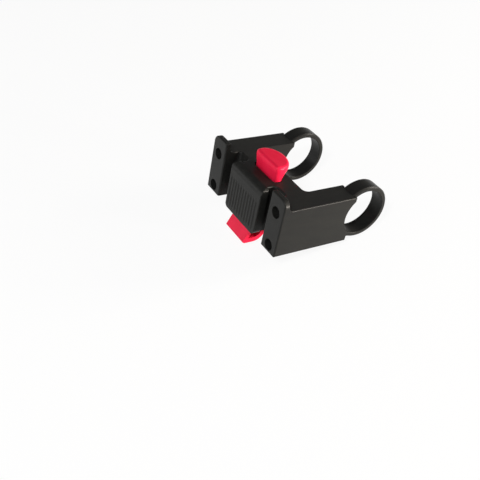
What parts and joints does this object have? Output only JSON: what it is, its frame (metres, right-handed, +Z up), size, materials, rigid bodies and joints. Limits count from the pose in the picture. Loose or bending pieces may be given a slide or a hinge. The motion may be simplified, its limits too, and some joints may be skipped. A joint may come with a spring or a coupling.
{
  "type": "handlebar bag mount",
  "caption": "Forked bicycle handlebar bag mount with strap clamps for the bar, a ribbed docking block between the arms and a red sprung release lever that ends in a hook.",
  "frame": {"origin": "on the handlebar axis, midway between the two bar clamps", "axes": "+X along the handlebar, -Y towards the bag (the ribbed block and the screw heads), +Z up in use (the red button)"},
  "size_m": [0.0856, 0.0865, 0.0561],
  "materials": {
    "black_nylon": "fine moulded texture, slightly satin",
    "red_plastic": "smooth moulded, satin gloss",
    "steel": "bright drawn wire and ground pin",
    "black_steel": "black oxide"
  },
  "bodies": {
    "base": {"base_frame": "black_nylon", "lever_pivot_pin": "steel", "lever_spring": "steel", "clamp_screw_left_upper": "black_steel", "clamp_screw_left_lower": "black_steel", "clamp_screw_right_upper": "black_steel", "clamp_screw_right_lower": "black_steel"},
    "lever": {"release_lever": "red_plastic"},
    "loop_left": {"clamp_loop_left": "black_nylon"},
    "loop_right": {"clamp_loop_right": "black_nylon"}
  },
  "joints": [
    {"name": "release_press", "type": "hinge", "parent": "base", "child": "lever", "pos_m": [0, -0.0465, 0.0095], "axis": [1, 0, 0], "range_deg": [0, 7], "stiffness_Nm_per_rad": 0.5, "springref_deg": -7.45, "deforming": ["lever_spring"]},
    {"name": "loop_left_draw", "type": "slide", "parent": "base", "child": "loop_left", "axis": [0, 1, 0], "range_m": [0, 0.006]},
    {"name": "loop_right_draw", "type": "slide", "parent": "base", "child": "loop_right", "axis": [0, 1, 0], "range_m": [0, 0.006]}
  ]
}
